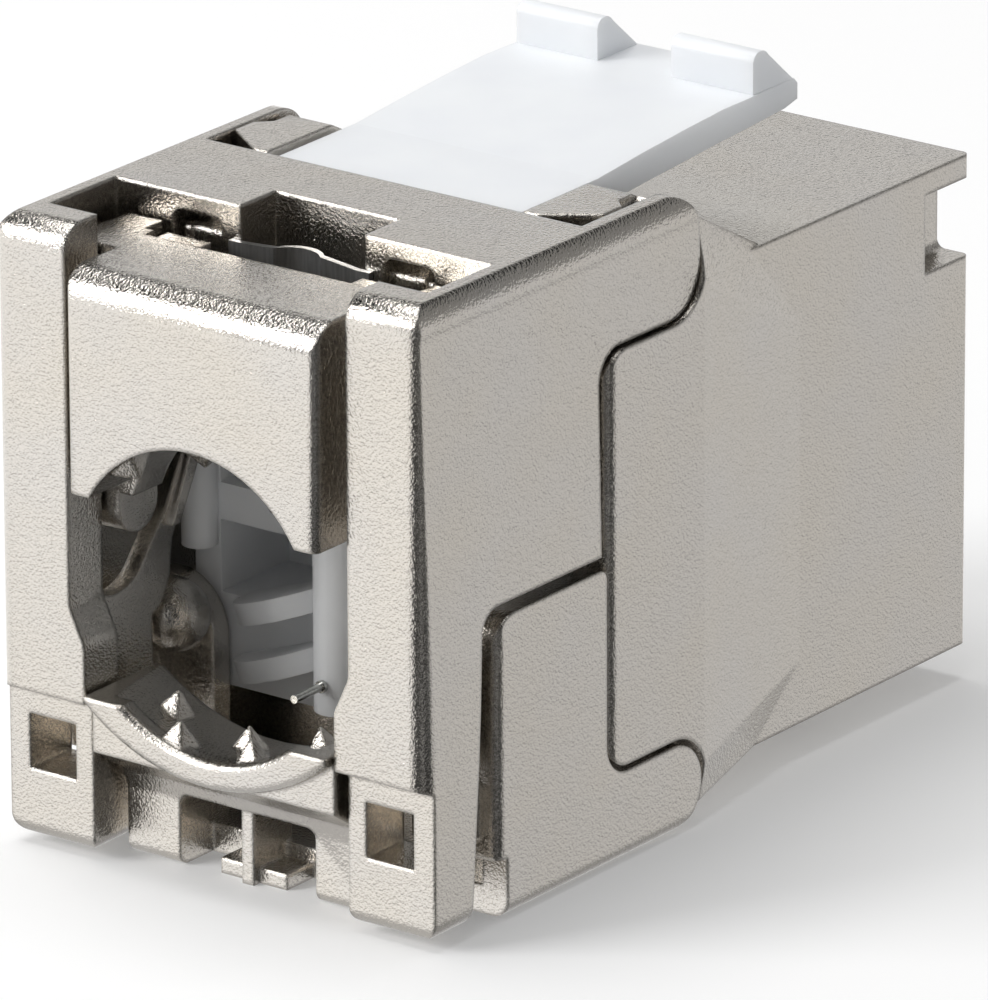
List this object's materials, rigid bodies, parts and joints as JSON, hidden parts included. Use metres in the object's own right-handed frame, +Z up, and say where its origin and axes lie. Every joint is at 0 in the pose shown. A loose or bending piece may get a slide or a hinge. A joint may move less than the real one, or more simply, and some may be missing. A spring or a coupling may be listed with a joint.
{
  "type": "keystone jack",
  "caption": "Shielded tool-free keystone jack with hinged metal wings, sliding cable clamp, flexible nylon latch and modular plug port.",
  "frame": {"origin": "middle of the footprint, on the underside the closed jack stands on", "axes": "+Y towards the plug face, +Z up towards the latch, +X completes the right-handed frame"},
  "size_m": [0.0162, 0.0302, 0.0221],
  "materials": {
    "nickel_casting": "nickel-plated zinc die casting, satin with fine grain",
    "spring_steel": "bright spring sheet",
    "white_nylon": "moulded natural white nylon",
    "white_plastic": "moulded white plastic",
    "grey_plastic": "moulded dark plastic",
    "board": "glass-epoxy board with solder mask",
    "gold_plate": "gold-plated contact wire",
    "tin_plate": "tin-plated bronze strip"
  },
  "bodies": {
    "jack": {"main_housing": "nickel_casting", "contact_insert": "grey_plastic", "contact_board": "board", "idc_block": "white_plastic", "wire_manager": "white_plastic", "drain_pin": "tin_plate", "plug_spring_left": "spring_steel", "plug_spring_right": "spring_steel", "port_contact_1": "gold_plate", "port_contact_2": "gold_plate", "port_contact_3": "gold_plate", "port_contact_4": "gold_plate", "port_contact_5": "gold_plate", "port_contact_6": "gold_plate", "port_contact_7": "gold_plate", "port_contact_8": "gold_plate", "idc_contact_1": "tin_plate", "idc_contact_2": "tin_plate", "idc_contact_3": "tin_plate", "idc_contact_4": "tin_plate", "idc_contact_5": "tin_plate", "idc_contact_6": "tin_plate", "idc_contact_7": "tin_plate", "idc_contact_8": "tin_plate"},
    "upper_wing": {"upper_wing": "nickel_casting", "clamp_spring": "spring_steel"},
    "lower_wing": {"lower_wing": "nickel_casting"},
    "clamp": {"clamp_plate": "nickel_casting"},
    "latch": {"keystone_latch": "white_nylon"}
  },
  "joints": [
    {"name": "upper_wing_hinge", "type": "hinge", "parent": "jack", "child": "upper_wing", "pos_m": [0, -0.00183, 0.0194], "axis": [-1, 0, 0], "range_deg": [0, 70]},
    {"name": "lower_wing_hinge", "type": "hinge", "parent": "jack", "child": "lower_wing", "pos_m": [0, -0.00168, 0.00152], "axis": [1, 0, 0], "range_deg": [0, 50]},
    {"name": "clamp_slide", "type": "slide", "parent": "upper_wing", "child": "clamp", "axis": [0, 0, -1], "range_m": [0, 0.0018]},
    {"name": "latch_flex", "type": "hinge", "parent": "jack", "child": "latch", "pos_m": [0, -0.00382, 0.01928], "axis": [-1, 0, 0], "range_deg": [0, 5], "stiffness_Nm_per_rad": 0.3}
  ],
  "couplings": [
    {"joint": "lower_wing_hinge", "follows": "upper_wing_hinge", "ratio": 0.7}
  ]
}
